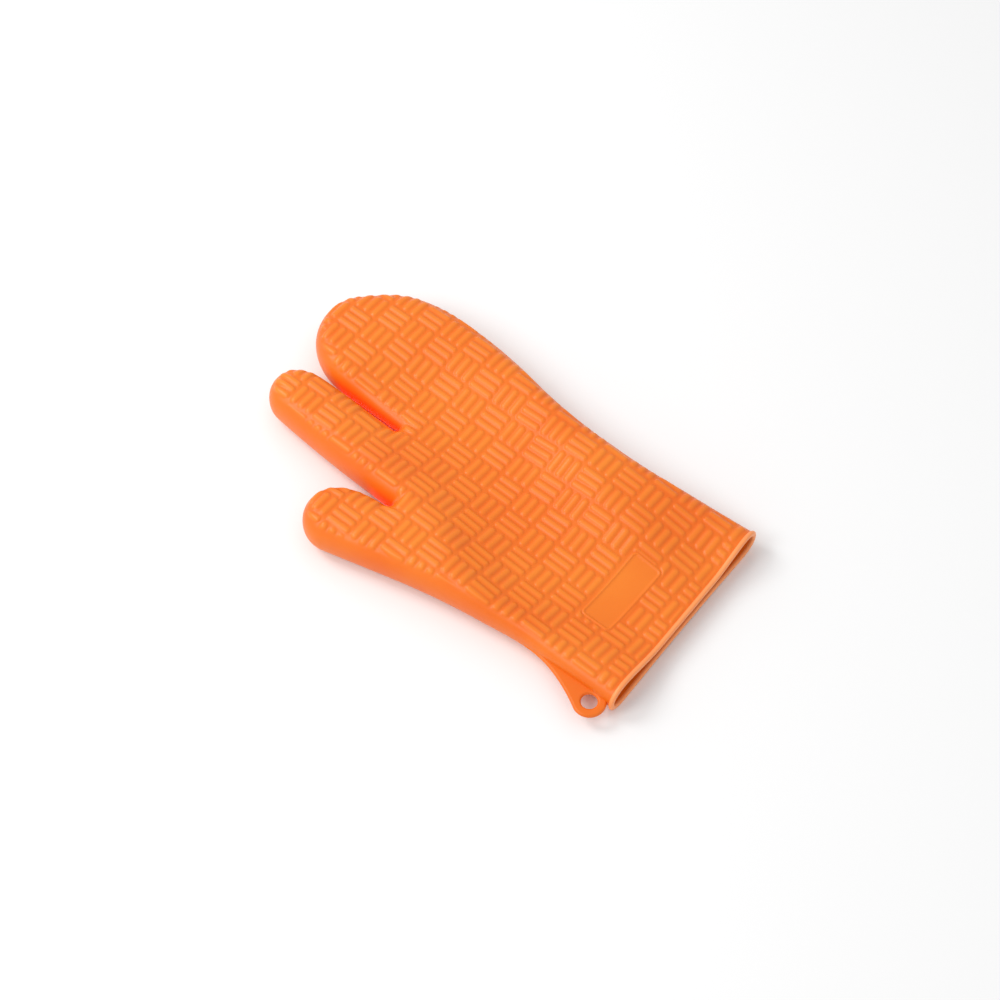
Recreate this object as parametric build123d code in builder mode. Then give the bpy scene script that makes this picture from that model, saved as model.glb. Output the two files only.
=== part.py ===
from build123d import *
import os
from math import radians, sqrt, tan

# A heat resistant cooking glove, moulded in one piece from silicone: a flat cuff, a hand
# pocket, and stalls for the thumb, the index finger and the other three fingers together.
# It lies on its back face. Millimetres: +X from the cuff to the fingertips, +Y towards the
# thumb, +Z up, and the origin under the middle of the whole glove.

# Driving dimensions
glove_length = 288
glove_width = 167
glove_thickness = 26
wall = 2.0
edge_round = 9
joint_gap = 0.3

tip_x = glove_length / 2
mouth_x = -glove_length / 2
far_y = -glove_width / 2
thumb_top_y = glove_width / 2

# Cuff: its thumb side runs straight, and its mouth is cut a little askew
cuff_thumb_y = 57
cuff_straight_x = -95
mouth_far_x = mouth_x + 5.5
mouth_far_y = -77.4
cuff_far_start = (-121, -75.7)
mould_end_x = mouth_x - 24
mould_end_drop = 2
cuff_flare = 5.3
waist_point = (-45, -69.5)
wrist_near = (-47, 63)
wrist_angle = 189.5

# Pocket for three fingers: an uneven oval end
pocket_mid_y = -38
pocket_near_y = -2.8
pocket_near_point = (104, pocket_near_y)
pocket_far_point = (78.5, far_y)
pocket_shoulder = (124, -69.5)
pocket_shoulder_angle = 40

# Index stall
index_tip_x = 117.5
index_tip_radius = 16.6
index_far_y = 1.4
index_near_y = 39.2
index_near_angle = 84

# Thumb stall
thumb_tip_radius = 18.5
thumb_tip_x = 44.5
thumb_far_angle = -50
thumb_near_angle = 105
thumb_end_angle = 27

# Slots between the stalls, each with a round end
pocket_slot_x = 59
thumb_slot_x = 27
thumb_slot_radius = 1.8

# The face sags along a shallow valley, which is deepest at the cuff
valley_y = 2
valley_radius = 120
valley_mouth_z = 11
valley_rise = 0.042
cuff_side_z = 18
cuff_rise_end_x = -45

# Flexing zones, as stretches of X, and of distance from the thumb's slot
wrist_zone = (-62, -38)
index_zone = (60, 80)
index_mid_zone = (99, 115)
pocket_zone = (60, 82)
pocket_mid_zone = (103, 121)
thumb_zone = (0, 17)

# Heights at which the face and back halves meet, along the mould's parting line
hand_parting_z = glove_thickness / 2
cuff_parting_z = 8.5

# Lip bead, blank panel and hanging tab
bead_width = 3.0
bead_rise = 0.8
panel_corner = (-116, -23)
panel_size = (19.5, 48)
panel_border = 1.2
panel_rise = 0.6
panel_round = 3
tab_thickness = 3
tab_hole_radius = 4.5
tab_outer_radius = 9.4
tab_x = -132
tab_end_x = -98
tab_fairing_angle = -30
tab_foot_width = 6
foot_flat = 0.02

# How far cutting outlines run past the glove: sideways, along the thumb's crease, and beyond
# any face of it
reach = 110
crease_reach = 60
margin = 1
straight_tolerance = 0.001

pocket_slot_radius = (index_far_y - pocket_near_y) / 2
pocket_slot_y = pocket_near_y + pocket_slot_radius
thumb_slot_y = index_near_y + thumb_slot_radius
thumb_tip_y = thumb_top_y - thumb_tip_radius
index_tip = Vector(index_tip_x, index_far_y + index_tip_radius)
index_near_point = index_tip + Vector(index_tip_radius, 0).rotate(Axis.Z, index_near_angle)
thumb_tip = Vector(thumb_tip_x, thumb_tip_y)
thumb_web = Vector(thumb_slot_x - thumb_slot_radius, thumb_slot_y)
thumb_out = Vector(1, 1).normalized()
thumb_across = Vector(-1, 1).normalized()
mouth_near = Vector(mouth_x, cuff_thumb_y)
mouth_far = Vector(mouth_far_x, mouth_far_y)
mouth_along = (mouth_far - mouth_near).normalized()

os.makedirs("parts", exist_ok=True)


def save(piece, name):
    """Label a finished piece and write it under its own name."""
    piece.part.label = name
    export_step(piece.part, f"parts/{name}.step")


def heading(angle):
    """The unit vector at an angle from +X."""
    return Vector(1, 0).rotate(Axis.Z, angle)


def on_thumb_tip(angle):
    """The point of the thumb's round end at an angle from +X."""
    return thumb_tip + heading(angle) * thumb_tip_radius


def run(start, start_angle, end, end_angle):
    """A line, or two arcs that meet smoothly, between two points with given headings."""
    leave, arrive = heading(start_angle), heading(end_angle)
    chord = end - start
    along = chord.dot(leave + arrive)
    spread = 2 * (1 - leave.dot(arrive))
    arm = chord.dot(chord) / (along + sqrt(along**2 + spread * chord.dot(chord)))
    middle = (start + end + (leave - arrive) * arm) / 2
    if abs(leave.cross(chord).Z) < straight_tolerance and start_angle == end_angle:
        Line(start, end)
    else:
        first = TangentArc(start, middle, tangent=leave)
        TangentArc(middle, end, tangent=first % 1)


# The outline of the glove seen from above, anticlockwise, as points with the heading of the
# edge at each. It runs on past the mouth to the mould's open end.
cuff_flare_drop = tan(radians(cuff_flare)) * (cuff_far_start[0] - mould_end_x)
outline_stations = [
    ((mould_end_x, cuff_far_start[1] - cuff_flare_drop), cuff_flare),
    (cuff_far_start, cuff_flare),
    (waist_point, 0),
    (pocket_far_point, 0),
    (pocket_shoulder, pocket_shoulder_angle),
    ((tip_x, pocket_mid_y), 90),
    (pocket_near_point, 180),
    ((pocket_slot_x, pocket_near_y), 180),
    ((pocket_slot_x - pocket_slot_radius, pocket_slot_y), 90),
    ((pocket_slot_x, index_far_y), 0),
    ((index_tip_x, index_far_y), 0),
    ((index_tip_x + index_tip_radius, index_far_y + index_tip_radius), 90),
    (index_near_point, 90 + index_near_angle),
    ((thumb_slot_x, index_near_y), 180),
    (thumb_web, 90),
    ((thumb_slot_x, thumb_slot_y + thumb_slot_radius), 0),
    (on_thumb_tip(thumb_far_angle), 90 + thumb_far_angle),
    (on_thumb_tip(thumb_end_angle), 90 + thumb_end_angle),
    (on_thumb_tip(thumb_near_angle), 90 + thumb_near_angle),
    (wrist_near, wrist_angle),
    ((cuff_straight_x, cuff_thumb_y), 180),
    ((mould_end_x, cuff_thumb_y), 180),
]


def draw_outline(inset):
    """The closed outline in plan, moved in by inset all round but at the mould's open end."""
    places = []
    for point, angle in outline_stations:
        places.append((Vector(*point) + heading(angle + 90) * inset, angle))
    for (start, start_angle), (end, end_angle) in zip(places, places[1:]):
        run(start, start_angle, end, end_angle)
    Line(places[-1][0], places[0][0])


# The valley is the underside of a wide cylinder, which rises towards the fingers
valley_plane = Plane(
    origin=(0, valley_y, valley_mouth_z - valley_rise * mouth_x + valley_radius),
    z_dir=(1, 0, valley_rise),
)


def glove_form(inset):
    """The closed form of the glove with its faces moved in by inset, resting on the floor."""
    floor = max(inset, 0)
    top = glove_thickness - inset
    with BuildPart() as form:
        with BuildSketch(Plane.XY.offset(floor)):
            with BuildLine():
                draw_outline(inset)
            make_face()
        extrude(amount=top - floor)
        rims = form.faces().filter_by(Axis.Z).edges()
        open_end = mould_end_x + abs(inset) + margin
        fillet([rim for rim in rims if rim.center().X > open_end], edge_round - floor)
        with BuildSketch(valley_plane):
            Circle(valley_radius + inset)
        extrude(amount=glove_length, both=True, mode=Mode.SUBTRACT)
        with BuildSketch(Plane.XZ):
            with BuildLine():
                Polyline(
                    (mould_end_x - margin, reach),
                    (mould_end_x - margin, cuff_side_z - inset - mould_end_drop),
                    (mouth_x, cuff_side_z - inset),
                    (cuff_rise_end_x, top),
                    (cuff_rise_end_x, reach),
                    close=True,
                )
            make_face()
        extrude(amount=glove_length, both=True, mode=Mode.SUBTRACT)
    return form.part


def plan_prism(corners, low, high):
    """A block with a plan outline, between two heights."""
    with BuildPart() as block:
        with BuildSketch(Plane.XY.offset(low)):
            with BuildLine():
                Polyline(*corners, close=True)
            make_face()
        extrude(amount=high - low)
    return block.part


def piece_of(form, corners, low, high, name):
    """The stretch of a form inside a plan outline and between two heights."""
    with BuildPart() as piece:
        add(form)
        add(plan_prism(corners, low, high), mode=Mode.INTERSECT)
    save(piece, name)


def halves_of(form, corners, parting_z, name):
    """The face half and the back half of a stretch of wall."""
    piece_of(form, corners, parting_z, glove_thickness + margin, name + "_face")
    piece_of(form, corners, -margin, parting_z, name + "_back")


def across_mouth(setback, y):
    """The point at a width y on a line parallel to the mouth and set back from it."""
    start = mouth_near + Vector(setback, 0)
    return start + mouth_along * ((y - start.Y) / mouth_along.Y)


def across_thumb(distance, along):
    """The point past the thumb's slot by a distance, and along the crease from the slot."""
    return Vector(thumb_web.X + distance / thumb_out.X, thumb_web.Y) + thumb_across * along


def block_corners(near_x, far_x, low_y, high_y):
    """The corners of an upright rectangle in plan."""
    return [(near_x, low_y), (far_x, low_y), (far_x, high_y), (near_x, high_y)]


# The moulded wall, and the same wall thickened outwards for the lip bead
outer_form = glove_form(0)
inner_form = glove_form(wall)
with BuildPart() as shell:
    add(outer_form)
    add(inner_form, mode=Mode.SUBTRACT)
with BuildPart() as bead_shell:
    add(glove_form(-bead_rise))
    add(inner_form, mode=Mode.SUBTRACT)

# Lip bead round the mouth, in two halves
bead_corners = [
    across_mouth(0, reach),
    across_mouth(bead_width, reach),
    across_mouth(bead_width, -reach),
    across_mouth(0, -reach),
]
halves_of(bead_shell.part, bead_corners, cuff_parting_z, "lip_bead")

# Cuff, from the bead to the wrist
cuff_corners = [
    across_mouth(bead_width, reach),
    (wrist_zone[0], reach),
    (wrist_zone[0], -reach),
    across_mouth(bead_width, -reach),
]
halves_of(shell.part, cuff_corners, cuff_parting_z, "cuff")

# Raised border of the blank panel, on the floor of the valley
panel_middle = (
    panel_corner[0] + panel_size[0] / 2,
    panel_corner[1] + panel_size[1] / 2,
)
with BuildPart() as panel_frame:
    with BuildSketch():
        with Locations(panel_middle):
            RectangleRounded(*panel_size, panel_round)
            offset(amount=-panel_border, mode=Mode.SUBTRACT)
    extrude(amount=glove_thickness)
    with BuildSketch(valley_plane):
        Circle(valley_radius)
    extrude(amount=glove_length, both=True, mode=Mode.INTERSECT)
    with BuildSketch(valley_plane):
        Circle(valley_radius - panel_rise)
    extrude(amount=glove_length, both=True, mode=Mode.SUBTRACT)
save(panel_frame, "panel_border")

# Hanging tab, with a rounded foot that turns beside the cuff
tab_foot_y = cuff_thumb_y + joint_gap
tab_hole_y = tab_foot_y + tab_thickness / 2 + tab_hole_radius + joint_gap
tab_low_z = cuff_parting_z - tab_thickness / 2
with BuildPart() as hanging_tab:
    with BuildSketch(Plane.XY.offset(tab_low_z)):
        with Locations((tab_x, tab_hole_y)):
            Circle(tab_outer_radius)
        with BuildLine():
            fairing = Spline(
                Vector(tab_x, tab_hole_y) + heading(90 + tab_fairing_angle) * tab_outer_radius,
                (tab_end_x, tab_foot_y + tab_thickness / 2),
                tangents=(heading(tab_fairing_angle), heading(0)),
            )
            Polyline(
                fairing @ 1,
                (tab_end_x, tab_foot_y),
                (tab_x - tab_foot_width, tab_foot_y),
                (tab_x, tab_hole_y),
                fairing @ 0,
            )
        make_face()
        with Locations((tab_x, tab_foot_y - tab_outer_radius)):
            Rectangle(reach, 2 * tab_outer_radius, mode=Mode.SUBTRACT)
    extrude(amount=tab_thickness)
    foot = hanging_tab.faces().sort_by(Axis.Y)[0]
    fillet(foot.edges().filter_by(Axis.X), (tab_thickness - foot_flat) / 2)
    with Locations((tab_x, tab_hole_y, tab_low_z)):
        Hole(tab_hole_radius)
save(hanging_tab, "hanging_tab")

# Hand pocket, from the wrist to the roots of the stalls
palm_corners = [
    (wrist_zone[1], -reach),
    (pocket_zone[0], -reach),
    (pocket_zone[0], thumb_slot_y),
    across_thumb(0, 0),
    across_thumb(0, crease_reach),
    (wrist_zone[1], reach),
]
halves_of(shell.part, palm_corners, hand_parting_z, "palm")

# Thumb stall, past its crease
thumb_end = thumb_zone[1]
thumb_corners = [
    across_thumb(thumb_end, 0),
    (reach, thumb_slot_y),
    (reach, reach),
    across_thumb(thumb_end, crease_reach),
]
halves_of(shell.part, thumb_corners, hand_parting_z, "thumb")

# Index stall and pocket, each in two lengths
index_sides = (pocket_slot_y, thumb_slot_y)
pocket_sides = (-reach, pocket_slot_y)
stretches = [
    ("index_base", index_zone[1], index_mid_zone[0], index_sides),
    ("index_tip", index_mid_zone[1], tip_x + margin, index_sides),
    ("pocket_base", pocket_zone[1], pocket_mid_zone[0], pocket_sides),
    ("pocket_tip", pocket_mid_zone[1], tip_x + margin, pocket_sides),
]
for name, near_x, far_x, sides in stretches:
    halves_of(shell.part, block_corners(near_x, far_x, *sides), hand_parting_z, name)

# Creases: soft bands of the same wall, which bend where the stiffer lengths meet
bands = [
    ("wrist_crease", wrist_zone, (-reach, reach)),
    ("index_crease", index_zone, index_sides),
    ("index_mid_crease", index_mid_zone, index_sides),
    ("pocket_crease", pocket_zone, pocket_sides),
    ("pocket_mid_crease", pocket_mid_zone, pocket_sides),
]
for name, zone, sides in bands:
    corners = block_corners(zone[0] + joint_gap, zone[1] - joint_gap, *sides)
    piece_of(shell.part, corners, -margin, glove_thickness + margin, name)
thumb_crease_corners = [
    across_thumb(joint_gap, 0),
    across_thumb(thumb_end - joint_gap, 0),
    across_thumb(thumb_end - joint_gap, crease_reach),
    across_thumb(joint_gap, crease_reach),
]
piece_of(shell.part, thumb_crease_corners, -margin, glove_thickness + margin, "thumb_crease")
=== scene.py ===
from math import atan2, ceil, cos, hypot, pi, radians, sin, sqrt, tan

import bpy
import numpy as np
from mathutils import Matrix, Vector
from mathutils.geometry import delaunay_2d_cdt
from mathutils.kdtree import KDTree


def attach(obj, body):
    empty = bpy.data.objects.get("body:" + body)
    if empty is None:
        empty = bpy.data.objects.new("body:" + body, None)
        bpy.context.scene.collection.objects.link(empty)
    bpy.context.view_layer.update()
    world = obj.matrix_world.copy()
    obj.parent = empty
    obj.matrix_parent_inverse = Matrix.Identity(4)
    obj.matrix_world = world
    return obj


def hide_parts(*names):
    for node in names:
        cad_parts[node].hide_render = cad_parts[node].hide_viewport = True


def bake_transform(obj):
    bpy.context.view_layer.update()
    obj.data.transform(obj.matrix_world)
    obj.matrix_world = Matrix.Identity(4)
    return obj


# The looks of a silicone cooking glove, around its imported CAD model. The glove is one moulding:
# its skin is drawn over the outline in plan, ribs and all, and divided where the CAD bodies
# meet. Sizes are millimetres in the CAD's frame until a mesh is made, which is in metres.

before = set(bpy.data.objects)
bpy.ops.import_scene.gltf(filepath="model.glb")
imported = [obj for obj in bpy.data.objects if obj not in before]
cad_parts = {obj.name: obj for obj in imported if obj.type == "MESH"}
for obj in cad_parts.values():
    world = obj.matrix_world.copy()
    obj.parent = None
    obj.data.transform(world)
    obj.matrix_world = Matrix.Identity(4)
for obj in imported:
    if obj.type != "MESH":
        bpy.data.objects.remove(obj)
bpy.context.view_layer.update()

MM = 0.001

# The outline in plan, as points with the heading of the edge at each, anticlockwise from the
# far corner of the mouth to the near one
thumb_tip = (44.7, 66.4)
thumb_tip_radius = 18.4
thumb_tip_angles = (-50, 27, 105)
mouth_near = (-145, 57.4)
mouth_far = (-139.5, -77.4)
bead_half = 1.4
cuff_flare = 5.3
web_x = 24.4
web_y = 41
pocket_slot_y = -0.9


def round_end(centre, radius, angles):
    """Outline stations at angles from +X round an end with a given centre and radius."""
    stations = []
    for angle in angles:
        turn = radians(angle)
        point = (centre[0] + radius * cos(turn), centre[1] + radius * sin(turn))
        stations.append((point, angle + 90))
    return stations


outline_stations = [
    ((mouth_far[0] + bead_half, mouth_far[1] + bead_half * tan(radians(cuff_flare))), cuff_flare),
    ((-121, -75.7), cuff_flare),
    ((-45, -69.6), 0),
    ((78.5, -82), 0),
    ((123.3, -68.6), 40),
    ((143.5, -38), 90),
    ((104, -2.8), 180),
    ((59, -2.8), 180),
    ((57.1, pocket_slot_y), 90),
    ((59, 1.0), 0),
    ((113, 1.2), 2),
    ((134.0, 18.5), 90),
    ((119.2, 34.8), 174),
    ((27, 39.4), 180),
    ((25.2, web_y), 90),
    ((27, 43.3), 2),
    *round_end(thumb_tip, thumb_tip_radius, thumb_tip_angles),
    ((-47, 63.8), 188.5),
    ((-92, 58.4), 181.1),
    ((mouth_near[0] + bead_half, mouth_near[1]), 180),
]

# Wall and section: sides round over from the parting line to the face and the back
wall = 2.0
hand_height = 26
cuff_height = 18
cuff_rise_end = -45
side_width = 12
side_power = 2.3
valley_cuff_y = 12
valley_hand_y = -16
valley_turn = (-75, 25)
valley_radius = 115
valley_mouth_z = 11.2
valley_rise = 0.038
tip_lift = 5.0
tip_lift_zone = (55, 125)
mouth_low_z = 12
mouth_back_z = 2.8
mouth_back_fade = 45
mouth_ease = 20
near_lens = 44
far_lens = 40
face_lens_zone = (0.22, 1)
back_lens_zone = (0.1, 1.2)
mouth_fade_end = -80
crown_blend = 3.0

# Ribs: woven cells of three bars, in columns along X and rows along Y
column_x = -16.3
column_pitch = 17.45
row_y = 7
row_pitch = 15.1
bars_per_cell = 3
bar_share = 0.78
bar_length_share = 0.92
bar_power = 2.4
rib_rise = 0.8
rib_margin = (1.8, 4.2)
near_margin = 1.6
bead_margin = (3.2, 5.2)

# Blank panel on the cuff
panel_middle = (-106.25, 1)
panel_half = (9.75, 24)
panel_round = 3
panel_border = 1.3
panel_rise = 0.6
panel_margin = (0.2, 1.6)
panel_paleness = 0.7

# Painted red glow beside the slots, standing in for light bouncing between and through the slot
# walls: how it fades with height, away from the slot's middle, and from the slot's root and
# towards its open end
painted_glow_fade_z = (12, 20)
painted_glow_slot_fades = (
    (pocket_slot_y, (3.2, 6), (54, 57), (88, 116)),
    (web_y, (3, 5.5), (22, 25), (32, 48)),
)

# Mesh steps
grid_x = column_pitch / 27
grid_y = row_pitch / 24
rim_step = 0.65
ring_count = 26
inner_step = 2.4
inner_rings = 8
grid_gap = 0.45
grid_reach = (145, 90)
columns_before = 8
rows_before = 7
panel_step = 0.5
panel_clearance = 0.3
panel_overlap = 0.35
panel_ring_count = 7

# Lip bead's section and path
bead_rise = 1.1
bead_deep = -2.1
bead_sides = 20
bead_power = 2.4
bead_step = 0.8
bead_smoothing = 6

# Hanging tab
tab_centre = np.array((-133.4, 62.8))
tab_radius = 9.4
tab_angles = (60, 205)
tab_root = (-136, 54)
tab_fairing = (-86, 58.8)
tab_fairing_heading = 182
tab_hole = 4.5
tab_hole_sides = 80
tab_middle_z = 9.2
tab_half_z = 1.5
tab_edge = 1.4
tab_step = 0.4
tab_rings = 6
tab_grid_step = 0.8
tab_grid_x = (-142, -90)
tab_grid_y = (53, 74)

# Creases, across the stalls and the wrist: where each starts and ends
wrist_start, wrist_end = -38, -62
index_start, index_end = 60, 80
index_mid_start, index_mid_end = 99, 115
pocket_start, pocket_end = 60, 82
pocket_mid_start, pocket_mid_end = 103, 121
thumb_crease = 17 * sqrt(0.5)
index_y = 20
pocket_y = -43
hinge_z = 13


def left_of(angle):
    """The unit normal on the left of a heading, or of many headings."""
    return np.stack((-np.sin(angle), np.cos(angle)), -1)


def smooth(low, high, value):
    """0 below low and 1 above high, with a smooth rise between them."""
    t = np.clip((value - low) / (high - low), 0, 1)
    return t * t * (3 - 2 * t)


def smooth_min(a, b, width):
    """The lower of two values, rounded over where they are within a width of each other."""
    share = np.clip(0.5 + 0.5 * (b - a) / width, 0, 1)
    return b + (a - b) * share - width * share * (1 - share)


def arc_samples(start, angle, end, step, inward):
    """Points and headings along the arc that leaves start at an angle and ends at end.

    An edge that turns right spreads out as it moves inward, so it gets more points."""
    chord = np.subtract(end, start)
    length = hypot(*chord)
    turn = (atan2(chord[1], chord[0]) - angle + pi) % (2 * pi) - pi
    if abs(turn) < 1e-4:
        share = np.arange(ceil(length / step)) / ceil(length / step)
        headings = np.full(len(share), angle)
        return start + share[:, None] * chord, headings, angle
    radius = length / (2 * sin(turn))
    spread = 1 + max(0, -inward / radius)
    count = ceil(2 * turn * radius * spread / step)
    share = np.arange(count) / count
    headings = angle + 2 * turn * share
    centre = start + left_of(angle) * radius
    return centre - left_of(headings) * radius, headings, angle + 2 * turn


def sample_outline(stations, step, inward):
    """Points and inward normals along runs of two smooth arcs between stations."""
    points, headings = [], []
    for (start, start_angle), (end, end_angle) in zip(stations, stations[1:]):
        start, end = np.array(start, float), np.array(end, float)
        a, b = radians(start_angle), radians(end_angle)
        leave, arrive = np.array((cos(a), sin(a))), np.array((cos(b), sin(b)))
        chord = end - start
        along = chord @ (leave + arrive)
        spread = 2 * (1 - leave @ arrive)
        arm = chord @ chord / (along + sqrt(along**2 + spread * (chord @ chord)))
        middle = (start + end + (leave - arrive) * arm) / 2
        first = arc_samples(start, a, middle, step, inward)
        second = arc_samples(middle, first[2], end, step, inward)
        points += [first[0], second[0]]
        headings += [first[1], second[1]]
    points.append([stations[-1][0]])
    headings.append([radians(stations[-1][1])])
    return np.concatenate(points), left_of(np.concatenate(headings))


def mouth_x_at(y):
    """The X of the mouth's slanted line at a width."""
    slant = (mouth_far[0] - mouth_near[0]) / (mouth_far[1] - mouth_near[1])
    return mouth_near[0] + (y - mouth_near[1]) * slant


def skin_end_x(y):
    """The X at which the skin stops, inside the lip bead."""
    return mouth_x_at(y) + bead_half


def meet_mouth(ring):
    """An open ring with its two ends eased onto the line where the skin stops."""
    ring = ring.copy()
    for end_x, end_y in (ring[0], ring[-1]):
        same_side = ring[:, 1] * end_y > 0
        ease = 1 - smooth(0, mouth_ease, ring[:, 0] - end_x)
        ring[:, 0] += same_side * ease * (skin_end_x(end_y) - end_x)
    return ring


def side_height(x):
    """The height of the glove's side, which is lower at the cuff."""
    share = np.clip((x - mouth_near[0]) / (cuff_rise_end - mouth_near[0]), 0, 1)
    return cuff_height + (hand_height - cuff_height) * share


def crown(x, y):
    """The height of the face: a shallow valley, pressed flat in the middle of the mouth."""
    side = side_height(x)
    valley = valley_mouth_z + valley_rise * (x - mouth_near[0])
    valley = valley + tip_lift * smooth(*tip_lift_zone, x)
    low_y = valley_cuff_y + (valley_hand_y - valley_cuff_y) * smooth(*valley_turn, x)
    valley = valley + (y - low_y) ** 2 / (2 * valley_radius)
    hand = smooth_min(side, valley, crown_blend)
    near = 1 - smooth(*face_lens_zone, (mouth_near[1] - y) / near_lens)
    far = 1 - smooth(*face_lens_zone, (y - mouth_far[1]) / far_lens)
    mouth = mouth_low_z + (cuff_height - mouth_low_z) * np.maximum(near, far)
    share = smooth(mouth_near[0], mouth_fade_end, x)
    return mouth + (hand - mouth) * share


def mid_height(x):
    """The height of the parting line along the glove's side."""
    return side_height(x) / 2


def floor_height(x, y):
    """The height of the back's ground: ribs reach the floor from it, and the mouth lifts."""
    near = smooth(*back_lens_zone, (mouth_near[1] - y) / near_lens)
    far = smooth(*back_lens_zone, (y - mouth_far[1]) / far_lens)
    lift = 1 - smooth(0, mouth_back_fade, x - mouth_near[0])
    return rib_rise + (mouth_back_z - rib_rise) * np.minimum(near, far) * lift


def pill(across, along, half_width, half_length):
    """Height, from 0 to 1, of a round-topped bar with round ends."""
    reach = np.maximum(np.abs(along) - (half_length - half_width), 0)
    share = np.clip(np.hypot(across, reach) / half_width, 0, 1)
    return 1 - share**bar_power


def weave(x, y):
    """Height, from 0 to 1, of the woven bars."""
    column = np.round((x - column_x) / column_pitch)
    u = x - column_x - column * column_pitch
    row = np.round((y - row_y) / row_pitch)
    v = y - row_y - row * row_pitch
    bar_u = column_pitch / bars_per_cell
    bar_v = row_pitch / bars_per_cell
    nearest_u = u - np.clip(np.round(u / bar_u), -1, 1) * bar_u
    nearest_v = v - np.clip(np.round(v / bar_v), -1, 1) * bar_v
    upright = pill(nearest_u, v, bar_share * bar_u / 2, bar_length_share * row_pitch / 2)
    level = pill(nearest_v, u, bar_share * bar_v / 2, bar_length_share * column_pitch / 2)
    return np.where((column + row) % 2 == 0, upright, level)


def panel_distance(x, y):
    """Distance outwards from the edge of the blank panel."""
    dx = np.abs(x - panel_middle[0]) - (panel_half[0] - panel_round)
    dy = np.abs(y - panel_middle[1]) - (panel_half[1] - panel_round)
    outside = np.hypot(np.maximum(dx, 0), np.maximum(dy, 0))
    return outside + np.minimum(np.maximum(dx, dy), 0) - panel_round


def relief(x, y, depth, facing, with_panel):
    """Height of the ribs and the panel's border above the skin's ground."""
    height = rib_rise * weave(x, y)
    setback = near_margin * np.clip(facing, 0, 1)
    height = height * smooth(rib_margin[0] + setback, rib_margin[1] + setback, depth)
    height = height * smooth(*bead_margin, x - mouth_x_at(y))
    if with_panel:
        edge = panel_distance(x, y)
        height = height * smooth(*panel_margin, edge)
        across = np.clip(1 - np.abs(edge + panel_border / 2) / panel_border, 0, 1)
        height = np.maximum(height, panel_rise * smooth(0, 1, across))
    return height


def tree_of(points):
    """A search tree over points in plan."""
    tree = KDTree(len(points))
    for i, (x, y) in enumerate(points):
        tree.insert((x, y, 0), i)
    tree.balance()
    return tree


def signed_depth(points, rim, inward):
    """Distance of each point in from the outline, negative outside it."""
    tree = tree_of(rim)
    nearest = np.array([tree.find((x, y, 0))[1] for x, y in points])
    away = points - rim[nearest]
    side = np.sign((away * inward[nearest]).sum(1))
    return side * np.hypot(*away.T)


def side_share(depth, width, power):
    """Share of the full height at a depth from the outline, for a side of a given width."""
    left = np.clip(1 - depth / width, 0, 1)
    return (1 - left**power) ** (1 / power)


def ring_insets(count, width, power):
    """Depths of rings that divide a side's rounded section evenly."""
    angle = np.arange(count + 1) / count * pi / 2
    return width * (1 - np.cos(angle) ** (2 / power))


def plan_mesh(rims, insets, fill, line=()):
    """A form in plan: bands of rings inside its outlines, and a filled middle.

    A rim is an outline's points and inward normals; the first goes round the form and the rest
    round holes. With a line, the first rim is open and the line closes the middle.
    Returns points, depths, quads and triangles; the points of all the rims come first."""
    sizes = [len(rim) for rim, inward in rims]
    rim_total = sum(sizes)
    layers = []
    for inset in insets:
        rings = [rim + inward * inset for rim, inward in rims]
        if len(line):
            rings[0] = meet_mouth(rings[0])
        layers.append(np.concatenate(rings))
    here, there = [], []
    first = 0
    for size in sizes:
        ring = np.arange(first, first + size)
        here.append(ring[:-1] if len(line) else ring)
        there.append(ring[1:] if len(line) else np.roll(ring, -1))
        first += size
    here, there = np.concatenate(here), np.concatenate(there)
    bands = []
    for j in range(len(insets) - 1):
        low, high = j * rim_total, (j + 1) * rim_total
        bands.append(np.stack((here + low, there + low, there + high, here + high), 1))
    edge = layers[-1]
    outer_loop = list(range(sizes[0]))
    if len(line):
        outer_loop += list(range(rim_total, rim_total + len(line)))
        edge = np.concatenate((edge, line))
    holes = []
    first = sizes[0]
    for size in sizes[1:]:
        holes.append(list(range(first, first + size)))
        first += size
    flat = np.concatenate((edge, fill))
    made = delaunay_2d_cdt([Vector(p) for p in flat.tolist()], [], [outer_loop] + holes, 1, 1e-5)
    source = np.array([ids[0] for ids in made[3]])
    triangles = source[np.array(made[2])]
    for hole in holes:
        inside = (triangles >= hole[0]) & (triangles <= hole[-1])
        triangles = triangles[~inside.all(1)]
    triangles = triangles + (len(insets) - 1) * rim_total
    points = np.concatenate(layers[:-1] + [flat])
    depths = np.repeat(insets, rim_total)
    depths = np.concatenate((depths, np.full(len(flat) - rim_total, insets[-1])))
    return points, depths, np.concatenate(bands), triangles


def both_sides(plan, rim_total, high, low):
    """A closed form from a plan mesh: its face at the high heights and its back at the low.

    The two share the rim's points. Returns the points and the two kinds of faces."""
    points, depths, quads, triangles = plan
    face = np.column_stack((points, high))
    back = np.column_stack((points, low))[rim_total:]
    below = np.arange(len(points)) + len(back)
    below[:rim_total] = np.arange(rim_total)
    quads = np.concatenate((quads, below[quads][:, ::-1]))
    triangles = np.concatenate((triangles, below[triangles][:, ::-1]))
    return np.concatenate((face, back)), quads, triangles


def normals_of(points, quads, triangles):
    """Unit normals at the points, from the faces round each."""
    total = np.zeros_like(points)
    for group in (quads, triangles):
        ahead = points[group[:, 2]] - points[group[:, 0]]
        aside = points[group[:, -1]] - points[group[:, 1]]
        across = np.cross(ahead, aside)
        for corner in group.T:
            for axis in range(3):
                total[:, axis] += np.bincount(corner, across[:, axis], len(points))
    length = np.linalg.norm(total, axis=1, keepdims=True)
    return total / np.maximum(length, 1e-12)


def add_object(name, data):
    """An object made from its data and put in the scene."""
    obj = bpy.data.objects.new(name, data)
    bpy.context.scene.collection.objects.link(obj)
    return obj


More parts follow.
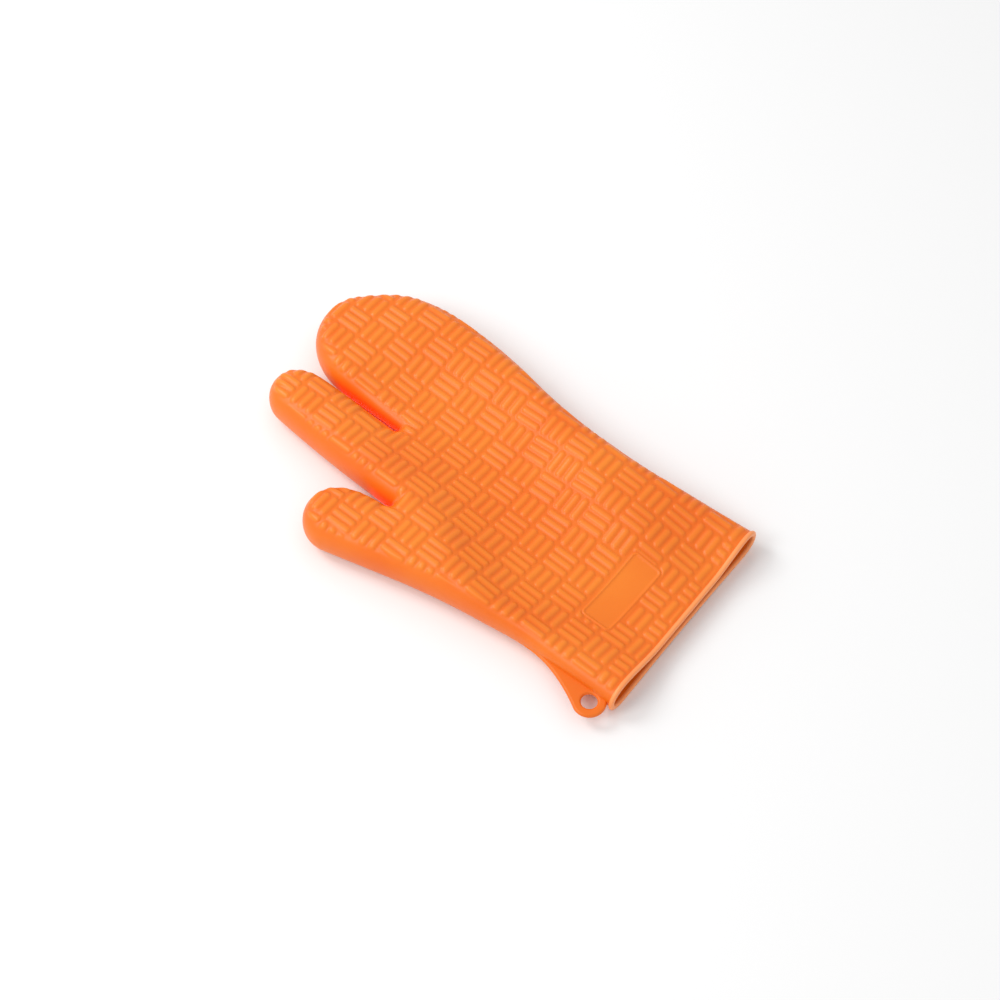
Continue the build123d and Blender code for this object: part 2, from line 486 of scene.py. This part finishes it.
def piece_from(name, points, quads, triangles, normals, values, painted_glow):
    """A mesh object from some faces of a larger skin, with that skin's normals.

    The values say how pale each point is painted, mostly by how high on a rib it lies, as a
    painted highlight, and the painted glow how red and bright the painted light beside the slots
    is."""
    used = np.unique(np.concatenate((quads.ravel(), triangles.ravel())))
    renumber = np.full(len(points), -1)
    renumber[used] = np.arange(len(used))
    faces = renumber[quads].tolist() + renumber[triangles].tolist()
    mesh = bpy.data.meshes.new(name)
    mesh.from_pydata((points[used] * MM).tolist(), [], faces)
    mesh.polygons.foreach_set("use_smooth", np.ones(len(mesh.polygons), bool))
    # relief carries the painted highlight on the crests, painted_glow the painted red glow in the
    # slots
    for label, share in (("relief", values), ("painted_glow", painted_glow)):
        attribute = mesh.attributes.new(label, "FLOAT", "POINT")
        attribute.data.foreach_set("value", share[used].astype(np.float32))
    mesh.normals_split_custom_set_from_vertices(normals[used].tolist())
    mesh.update()
    return add_object(name, mesh)


def grid_fill(rim, inward, depth, xs, ys):
    """The points of a grid that lie deeper than a depth, and clear of the mouth."""
    grid = np.stack(np.meshgrid(xs, ys), -1).reshape(-1, 2)
    gap = grid_gap * (xs[1] - xs[0])
    grid = grid[grid[:, 0] > skin_end_x(grid[:, 1]) + gap]
    depths = signed_depth(grid, rim, inward)
    inside = depths > depth + gap
    return grid[inside], depths[inside]


def mouth_line(near_y, far_y, step):
    """Points across the mouth between two widths, without the ends."""
    count = ceil(abs(far_y - near_y) / step)
    y = np.linspace(near_y, far_y, count + 1)[1:-1]
    return np.column_stack((skin_end_x(y), y))


def skin(inset, step, ring_total, xs, ys, extra=()):
    """The glove's plan mesh, moved in by inset, with its face and back heights."""
    width = side_width - inset
    rim, inward = sample_outline(outline_stations, step, side_width)
    rim = meet_mouth(rim + inward * inset)
    insets = ring_insets(ring_total, width, side_power)
    near_y = rim[-1, 1] - width
    far_y = rim[0, 1] + width
    line = mouth_line(near_y, far_y, step)
    fill, depths = grid_fill(rim, inward, width, xs, ys)
    if len(extra):
        tree = tree_of(extra)
        clear = [tree.find((x, y, 0))[2] > panel_clearance for x, y in fill]
        fill, depths = fill[clear], depths[clear]
        fill = np.concatenate((fill, extra))
        depths = np.concatenate((depths, signed_depth(extra, rim, inward)))
    plan = plan_mesh([(rim, inward)], insets, fill, line)
    plan[1][-len(fill):] = depths
    x, y = plan[0].T
    share = side_share(plan[1], width, side_power)
    middle = mid_height(x)
    high = middle + (crown(x, y) - inset - middle) * share
    low = middle - (middle - floor_height(x, y) - inset) * share
    points, quads, triangles = both_sides(plan, len(rim), high, low)
    depth = np.concatenate((plan[1], plan[1][len(rim):]))
    ends = (len(rim), len(insets), len(line), len(plan[0]))
    return points, quads, triangles, depth, ends


def painted_slot_glow(points):
    """Share, from 0 to 1, of the painted red glow that stands in for light held between a slot's
    two walls.
    """
    x, y, z = points.T
    shares = []
    for slot_y, aside_fade, root_fade, end_fade in painted_glow_slot_fades:
        beside = 1 - smooth(*aside_fade, np.abs(y - slot_y))
        shares.append(beside * smooth(*root_fade, x) * (1 - smooth(*end_fade, x)))
    return (1 - smooth(*painted_glow_fade_z, z)) * np.maximum(*shares)


def centres(points, group):
    """The middle of each face, in plan."""
    return points[group, :2].mean(1)


# The stretches of skin between the flexing zones: each starts where its crease starts
def stretch_of(centre):
    """The number of the stretch that each point in plan belongs to."""
    x, y = centre.T
    on_thumb = (x + y > web_x + web_y) & (y > web_y)
    on_index = (y > pocket_slot_y) & ~on_thumb
    stretch = np.zeros(len(x), int)
    stretch[x < wrist_start] = 1
    stretch[on_thumb] = 2
    stretch[(x > index_start) & on_index] = 3
    stretch[(x > index_mid_start) & on_index] = 4
    stretch[(x > pocket_start) & ~on_index & ~on_thumb] = 5
    stretch[(x > pocket_mid_start) & ~on_index & ~on_thumb] = 6
    return stretch


stretches = [
    # name, body before its crease, body past it, crease start and end, CAD nodes
    ("palm_skin", "palm", None, None, None, ["palm_face", "palm_back"]),
    (
        "cuff_skin",
        "palm",
        "cuff",
        (wrist_start, 0, hinge_z),
        (wrist_end, 0, hinge_z),
        ["wrist_crease", "cuff_face", "cuff_back", "panel_border"],
    ),
    (
        "thumb_skin",
        "palm",
        "thumb",
        (web_x, web_y, hinge_z),
        (web_x + thumb_crease, web_y + thumb_crease, hinge_z),
        ["thumb_crease", "thumb_face", "thumb_back"],
    ),
    (
        "index_base_skin",
        "palm",
        "index_base",
        (index_start, index_y, hinge_z),
        (index_end, index_y, hinge_z),
        ["index_crease", "index_base_face", "index_base_back"],
    ),
    (
        "index_tip_skin",
        "index_base",
        "index_tip",
        (index_mid_start, index_y, hinge_z),
        (index_mid_end, index_y, hinge_z),
        ["index_mid_crease", "index_tip_face", "index_tip_back"],
    ),
    (
        "pocket_base_skin",
        "palm",
        "pocket_base",
        (pocket_start, pocket_y, hinge_z),
        (pocket_end, pocket_y, hinge_z),
        ["pocket_crease", "pocket_base_face", "pocket_base_back"],
    ),
    (
        "pocket_tip_skin",
        "pocket_base",
        "pocket_tip",
        (pocket_mid_start, pocket_y, hinge_z),
        (pocket_mid_end, pocket_y, hinge_z),
        ["pocket_mid_crease", "pocket_tip_face", "pocket_tip_back"],
    ),
]

# Outer skin, with a finer mesh along the panel's border
xs = np.arange(column_x - columns_before * column_pitch, grid_reach[0], grid_x)
ys = np.arange(row_y - rows_before * row_pitch, grid_reach[1], grid_y)
corner = (panel_half[0] - panel_round, panel_half[1] - panel_round)
panel_path = [
    ((-corner[0], -panel_half[1]), 0),
    ((corner[0], -panel_half[1]), 0),
    ((panel_half[0], -corner[1]), 90),
    ((panel_half[0], corner[1]), 90),
    ((corner[0], panel_half[1]), 180),
    ((-corner[0], panel_half[1]), 180),
    ((-panel_half[0], corner[1]), 270),
    ((-panel_half[0], -corner[1]), 270),
    ((-corner[0], -panel_half[1]), 360),
]
panel_rim, panel_inward = sample_outline(panel_path, panel_step, 0)
panel_rings = [
    panel_middle + panel_rim[:-1] + panel_inward[:-1] * inset
    for inset in np.linspace(-panel_overlap, panel_border + panel_overlap, panel_ring_count)
]
outer = skin(0, rim_step, ring_count, xs, ys, np.concatenate(panel_rings))
points, quads, triangles, depth, ends = outer
count, rings, line_count, plan_total = ends
on_back = np.arange(len(points)) >= plan_total
ground = points.copy()
normals = normals_of(ground, quads, triangles)
facing = normals[:, 1] / np.maximum(np.hypot(normals[:, 0], normals[:, 1]), 1e-6)
rise = np.where(
    on_back,
    relief(ground[:, 0], ground[:, 1], depth, facing, False),
    relief(ground[:, 0], ground[:, 1], depth, facing, True),
)
points = ground + normals * rise[:, None]
normals = normals_of(points, quads, triangles)

# Inner skin, a wall's thickness inside, facing the hand
inner_xs = np.arange(-grid_reach[0], grid_reach[0], inner_step)
inner_ys = np.arange(-grid_reach[1], grid_reach[1], inner_step)
lining = skin(wall, inner_step, inner_rings, inner_xs, inner_ys)
lining_points, lining_quads, lining_triangles = lining[:3]
lining_quads, lining_triangles = lining_quads[:, ::-1], lining_triangles[:, ::-1]
lining_normals = normals_of(lining_points, lining_quads, lining_triangles)

all_points = np.concatenate((points, lining_points))
all_normals = np.concatenate((normals, lining_normals))
# Painted highlight: the crests of the ribs are painted paler by their height; the panel's inside
# is made paler too
on_panel = ~on_back & (panel_distance(*ground[:, :2].T) < -panel_border)
crest_highlight_and_panel_paleness = np.maximum(rise / rib_rise, panel_paleness * on_panel)
all_crest_highlight_and_panel_paleness = np.concatenate((crest_highlight_and_panel_paleness, np.zeros(len(lining_points))))
all_quads = np.concatenate((quads, lining_quads + len(points)))
all_triangles = np.concatenate((triangles, lining_triangles + len(points)))
plan_points = np.concatenate((ground, lining_points))
quad_stretch = stretch_of(centres(plan_points, all_quads))
triangle_stretch = stretch_of(centres(plan_points, all_triangles))

skins = []
for number, (name, before, past, crease_start, crease_end, nodes) in enumerate(stretches):
    obj = piece_from(
        name,
        all_points,
        all_quads[quad_stretch == number],
        all_triangles[triangle_stretch == number],
        all_normals,
        all_crest_highlight_and_panel_paleness,
        painted_slot_glow(all_points),
    )
    if past:
        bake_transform(obj)
    else:
        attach(obj, before)
    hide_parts(*nodes)
    skins.append(obj)


# Lip bead: a rounded band swept round the skin's end
near_end = [j * count + count - 1 for j in range(rings)]
far_end = [j * count for j in range(rings)]
across = [rings * count + k for k in range(line_count)]
to_back = plan_total - count
loop = near_end + across + far_end[::-1]
loop += [i + to_back for i in far_end[1:] + across[::-1] + near_end[:0:-1]]
path = ground[loop]
lengths = np.linalg.norm(np.roll(path, -1, 0) - path, axis=1)
travelled = np.concatenate(([0], np.cumsum(lengths)))
bead_count = ceil(travelled[-1] / bead_step)
stops = np.arange(bead_count) / bead_count * travelled[-1]
closed = np.concatenate((path, path[:1]))
path = np.stack([np.interp(stops, travelled, closed[:, axis]) for axis in range(3)], 1)
for _ in range(bead_smoothing):
    path = 0.5 * path + 0.25 * (np.roll(path, 1, 0) + np.roll(path, -1, 0))
ahead = np.roll(path, -1, 0) - np.roll(path, 1, 0)
ahead /= np.linalg.norm(ahead, axis=1, keepdims=True)
mouth_along = np.array((*np.subtract(mouth_far, mouth_near), 0.0))
mouth_along /= np.linalg.norm(mouth_along)
mouth_out = np.cross(mouth_along, (0, 0, 1))
bead_out = np.cross(mouth_out, ahead)
section = []
for k in range(bead_sides):
    turn = 2 * pi * k / bead_sides
    share_n = np.sign(cos(turn)) * abs(cos(turn)) ** (2 / bead_power)
    share_e = np.sign(sin(turn)) * abs(sin(turn)) ** (2 / bead_power)
    height = (bead_rise + bead_deep) / 2 + (bead_rise - bead_deep) / 2 * share_n
    section.append((height, bead_half * share_e))
bead_points = np.concatenate([path + bead_out * n + mouth_out * e for n, e in section])
bead_faces = []
for k in range(bead_sides):
    for i in range(bead_count):
        j = (i + 1) % bead_count
        m = (k + 1) % bead_sides
        bead_faces.append(
            (k * bead_count + i, k * bead_count + j, m * bead_count + j, m * bead_count + i)
        )
bead_faces = np.array(bead_faces)
no_triangles = np.zeros((0, 3), int)
bead_normals = normals_of(bead_points, bead_faces, no_triangles)
# The bead is painted at full paleness, part of the painted highlight along the lip
bead = piece_from(
    "lip_bead",
    bead_points,
    bead_faces,
    no_triangles,
    bead_normals,
    np.ones(len(bead_points)),
    np.zeros(len(bead_points)),
)
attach(bead, "cuff")
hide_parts("lip_bead_face", "lip_bead_back")

# Hanging tab: a flat ear with a round hole, faired into the cuff's side
tab_stations = [
    (tab_root, 0),
    ((tab_fairing[0], tab_root[1]), 0),
    (tab_fairing, tab_fairing_heading),
    *round_end(tab_centre, tab_radius, tab_angles),
    (tab_root, 360),
]
tab_rim = sample_outline(tab_stations, tab_step, 0)
tab_rim = (tab_rim[0][:-1], tab_rim[1][:-1])
hole_turn = -np.arange(tab_hole_sides) / tab_hole_sides * 2 * pi
hole_out = np.stack((np.cos(hole_turn), np.sin(hole_turn)), 1)
hole_rim = (tab_centre + tab_hole * hole_out, hole_out)
tab_insets = ring_insets(tab_rings, tab_edge, 2)
tab_xs = np.arange(*tab_grid_x, tab_grid_step)
tab_ys = np.arange(*tab_grid_y, tab_grid_step)
tab_grid = np.stack(np.meshgrid(tab_xs, tab_ys), -1)
tab_grid = tab_grid.reshape(-1, 2)
inside = signed_depth(tab_grid, *tab_rim) > tab_edge + tab_step
inside &= np.hypot(*(tab_grid - tab_centre).T) > tab_hole + tab_edge + tab_step
tab_plan = plan_mesh([tab_rim, hole_rim], tab_insets, tab_grid[inside])
tab_share = side_share(tab_plan[1], tab_edge, 2)
tab_points, tab_quads, tab_triangles = both_sides(
    tab_plan,
    len(tab_rim[0]) + len(hole_rim[0]),
    tab_middle_z + tab_half_z * tab_share,
    tab_middle_z - tab_half_z * tab_share,
)
tab_normals = normals_of(tab_points, tab_quads, tab_triangles)
tab = piece_from(
    "hanging_tab_skin",
    tab_points,
    tab_quads,
    tab_triangles,
    tab_normals,
    np.zeros(len(tab_points)),
    np.zeros(len(tab_points)),
)
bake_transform(tab)
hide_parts("hanging_tab")


# Silicone: a satin orange, a little paler in soft clouds and on the crests of the ribs, where it
# is a painted highlight, and redder beside the slots, with a painted red glow of emission that
# stands in for light held in the slots
silicone_ior = 1.41
silicone_specular = 0.5
painted_glow_colour = (0.93, 0.07, 0.006, 1)
painted_glow_emission_colour = (0.95, 0.06, 0.004, 1)
painted_glow_strength = 0.55
crest_highlight_share = 0.55
cloud_scale = 28
cloud_detail = 3
cloud_range = (0.3, 0.7)
cloud_share = 0.45
grain_scale = 900
grain_detail = 4
grain_roughness = 0.06
grain_bump = 0.12
grain_depth = 0.4 * MM


def silicone(name, deep, pale, roughness):
    """A moulded silicone material between a deep and a pale colour."""
    material = bpy.data.materials.new(name)
    material.use_nodes = True
    nodes = material.node_tree.nodes
    links = material.node_tree.links
    shader = nodes["Principled BSDF"]
    shader.inputs["IOR"].default_value = silicone_ior
    shader.inputs["Specular IOR Level"].default_value = silicone_specular
    shader.inputs["Emission Color"].default_value = painted_glow_emission_colour
    place = nodes.new("ShaderNodeTexCoord")
    cloud = nodes.new("ShaderNodeTexNoise")
    cloud.inputs["Scale"].default_value = cloud_scale
    cloud.inputs["Detail"].default_value = cloud_detail
    links.new(place.outputs["Object"], cloud.inputs["Vector"])
    # Painted highlight: the crests of the ribs are mixed towards the pale colour by their relief
    crest_highlight = nodes.new("ShaderNodeAttribute")
    crest_highlight.attribute_name = "relief"
    blend = nodes.new("ShaderNodeMath")
    blend.operation = "MULTIPLY_ADD"
    blend.inputs[1].default_value = crest_highlight_share
    links.new(crest_highlight.outputs["Fac"], blend.inputs[0])
    spread = nodes.new("ShaderNodeMapRange")
    spread.inputs["From Min"].default_value = cloud_range[0]
    spread.inputs["From Max"].default_value = cloud_range[1]
    spread.inputs["To Max"].default_value = cloud_share
    links.new(cloud.outputs["Fac"], spread.inputs["Value"])
    links.new(spread.outputs["Result"], blend.inputs[2])
    colour = nodes.new("ShaderNodeMix")
    colour.data_type = "RGBA"
    colour.inputs["A"].default_value = (*deep, 1)
    colour.inputs["B"].default_value = (*pale, 1)
    links.new(blend.outputs["Value"], colour.inputs["Factor"])
    # Painted glow: a redder base colour and emission beside the slots, standing in for light held
    # in the slots
    painted_glow = nodes.new("ShaderNodeAttribute")
    painted_glow.attribute_name = "painted_glow"
    painted_glow_mix = nodes.new("ShaderNodeMix")
    painted_glow_mix.data_type = "RGBA"
    painted_glow_mix.inputs["B"].default_value = painted_glow_colour
    links.new(painted_glow.outputs["Fac"], painted_glow_mix.inputs["Factor"])
    links.new(colour.outputs["Result"], painted_glow_mix.inputs["A"])
    links.new(painted_glow_mix.outputs["Result"], shader.inputs["Base Color"])
    painted_glow_emission = nodes.new("ShaderNodeMath")
    painted_glow_emission.operation = "MULTIPLY"
    painted_glow_emission.inputs[1].default_value = painted_glow_strength
    links.new(painted_glow.outputs["Fac"], painted_glow_emission.inputs[0])
    links.new(painted_glow_emission.outputs["Value"], shader.inputs["Emission Strength"])
    grain = nodes.new("ShaderNodeTexNoise")
    grain.inputs["Scale"].default_value = grain_scale
    grain.inputs["Detail"].default_value = grain_detail
    links.new(place.outputs["Object"], grain.inputs["Vector"])
    gloss = nodes.new("ShaderNodeMapRange")
    gloss.inputs["To Min"].default_value = roughness - grain_roughness
    gloss.inputs["To Max"].default_value = roughness + grain_roughness
    links.new(grain.outputs["Fac"], gloss.inputs["Value"])
    links.new(gloss.outputs["Result"], shader.inputs["Roughness"])
    bump = nodes.new("ShaderNodeBump")
    bump.inputs["Strength"].default_value = grain_bump
    bump.inputs["Distance"].default_value = grain_depth
    links.new(grain.outputs["Fac"], bump.inputs["Height"])
    links.new(bump.outputs["Normal"], shader.inputs["Normal"])
    return material


orange = silicone("orange_silicone", (0.8, 0.135, 0.004), (0.87, 0.225, 0.016), 0.38)
# The lip bead gets a paler, glossier copy of the same silicone: its paler colour is a painted
# highlight along the lip
painted_highlight_bead_orange = silicone("bead_silicone_painted_highlight", (0.9, 0.23, 0.05), (0.97, 0.34, 0.11), 0.34)
for obj in skins + [tab]:
    obj.data.materials.append(orange)
bead.data.materials.append(painted_highlight_bead_orange)

# Floor, in metres
reach = 3
floor_corners = [(-reach, -reach, 0), (reach, -reach, 0), (reach, reach, 0), (-reach, reach, 0)]
floor_mesh = bpy.data.meshes.new("floor")
floor_mesh.from_pydata(floor_corners, [], [(0, 1, 2, 3)])
floor = add_object("floor", floor_mesh)
floor_material = bpy.data.materials.new("pale_floor")
floor_material.use_nodes = True
floor_shader = floor_material.node_tree.nodes["Principled BSDF"]
floor_shader.inputs["Base Color"].default_value = (0.9, 0.9, 0.9, 1)
floor_shader.inputs["Roughness"].default_value = 0.9
floor_shader.inputs["Specular IOR Level"].default_value = 0.1
floor.data.materials.append(floor_material)

# Camera, in metres, high above the thumb's side of the mouth
aim = Vector((-0.01114, -0.00922, 0))
camera_distance = 1.3018
camera_bearing = radians(130)
camera_rise = radians(57)
camera_lens = 82.8
back = Vector(
    (
        cos(camera_rise) * cos(camera_bearing),
        cos(camera_rise) * sin(camera_bearing),
        sin(camera_rise),
    )
)
camera_data = bpy.data.cameras.new("camera")
camera_data.lens = camera_lens
camera = add_object("camera", camera_data)
camera.location = aim + back * camera_distance
camera.rotation_euler = (-back).to_track_quat("-Z", "Y").to_euler()
bpy.context.scene.camera = camera

# Soft studio light: a pale world, and two square lights in metres and watts
world_strength = 0.76
light_size = 0.6
world = bpy.data.worlds.new("studio")
world.use_nodes = True
world.node_tree.nodes["Background"].inputs["Color"].default_value = (1, 1, 1, 1)
world.node_tree.nodes["Background"].inputs["Strength"].default_value = world_strength
bpy.context.scene.world = world
bpy.context.scene.view_settings.view_transform = "Standard"


def area_light(name, place, aim_at, size, watts):
    """A soft square light, aimed at a point."""
    data = bpy.data.lights.new(name, "AREA")
    data.size = size
    data.energy = watts
    light = add_object(name, data)
    light.location = place
    direction = Vector(aim_at) - Vector(place)
    light.rotation_euler = direction.to_track_quat("-Z", "Y").to_euler()


area_light("key", (1.0, 0.3, 1.15), (0, 0, 0), light_size, 7.8)
area_light("fill", (0.4, 1.0, 1.15), (0, 0, 0), light_size, 6.7)
